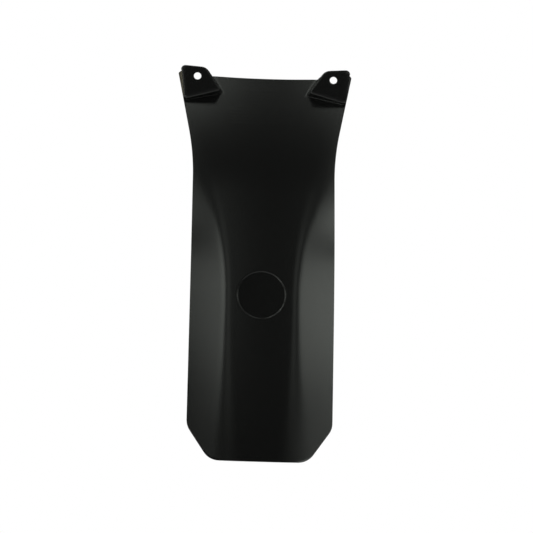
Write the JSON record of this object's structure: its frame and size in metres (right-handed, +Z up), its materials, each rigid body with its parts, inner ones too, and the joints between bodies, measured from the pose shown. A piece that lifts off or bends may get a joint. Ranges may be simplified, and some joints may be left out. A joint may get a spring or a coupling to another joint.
{
  "type": "shock mud flap",
  "caption": "Moulded black plastic mud flap with a channel section and pressed-out mounting ears, hung in front of the rear wheel to shield the shock absorber.",
  "frame": {"origin": "midway between the two bolt holes, on the front plane of the mounting ears", "axes": "+X to the right across the flap as its hollow side is seen, +Y from the hollow front side to the back, +Z up along the hanging flap"},
  "size_m": [0.1534, 0.1016, 0.3484],
  "materials": {
    "moulded_plastic": "black, half gloss, fine moulded grain"
  },
  "bodies": {
    "root": {"mud_flap": "moulded_plastic"}
  },
  "joints": []
}
